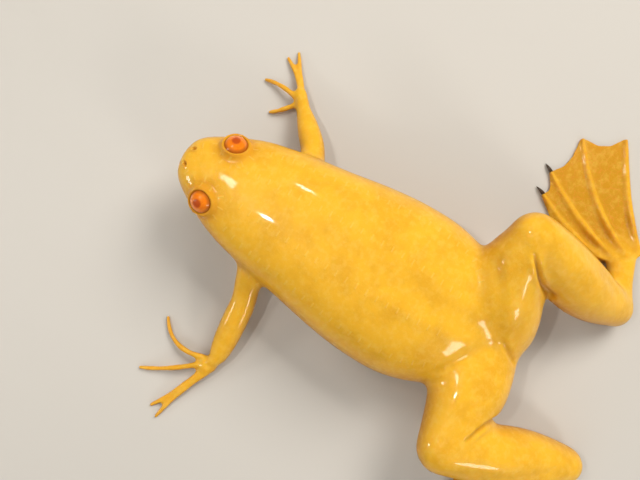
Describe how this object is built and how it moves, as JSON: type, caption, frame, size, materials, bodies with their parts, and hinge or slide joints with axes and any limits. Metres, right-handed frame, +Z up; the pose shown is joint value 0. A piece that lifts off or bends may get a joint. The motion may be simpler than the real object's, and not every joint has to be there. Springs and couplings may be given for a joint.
{
  "type": "african clawed frog",
  "caption": "Life-size still model of a pale albino clawed frog lying on its belly, forelegs splayed, hind legs folded, hind feet webbed and fanned out.",
  "frame": {"origin": "middle of the flat under the belly, on the floor", "axes": "+Z up; -Y forwards, the way the snout points; +X towards the frog's left side"},
  "size_m": [0.146, 0.144, 0.0347],
  "materials": {
    "skin": "wet smooth albino skin, pale golden yellow",
    "web_skin": "thin smooth web skin, yellow with a slight green cast",
    "eye": "glossy orange-red albino eye",
    "claw_horn": "dark polished horn"
  },
  "bodies": {
    "root": {"head": "skin", "torso": "skin", "upper_arm_left": "skin", "upper_arm_right": "skin", "forearm_left": "skin", "forearm_right": "skin", "hand_left": "skin", "hand_right": "skin", "thigh_left": "skin", "thigh_right": "skin", "shank_left": "skin", "shank_right": "skin", "tarsus_left": "skin", "tarsus_right": "skin", "foot_left": "web_skin", "foot_right": "web_skin", "eye_left": "eye", "eye_right": "eye", "claw_left_1": "claw_horn", "claw_left_2": "claw_horn", "claw_left_3": "claw_horn", "claw_right_1": "claw_horn", "claw_right_2": "claw_horn", "claw_right_3": "claw_horn"}
  },
  "joints": []
}
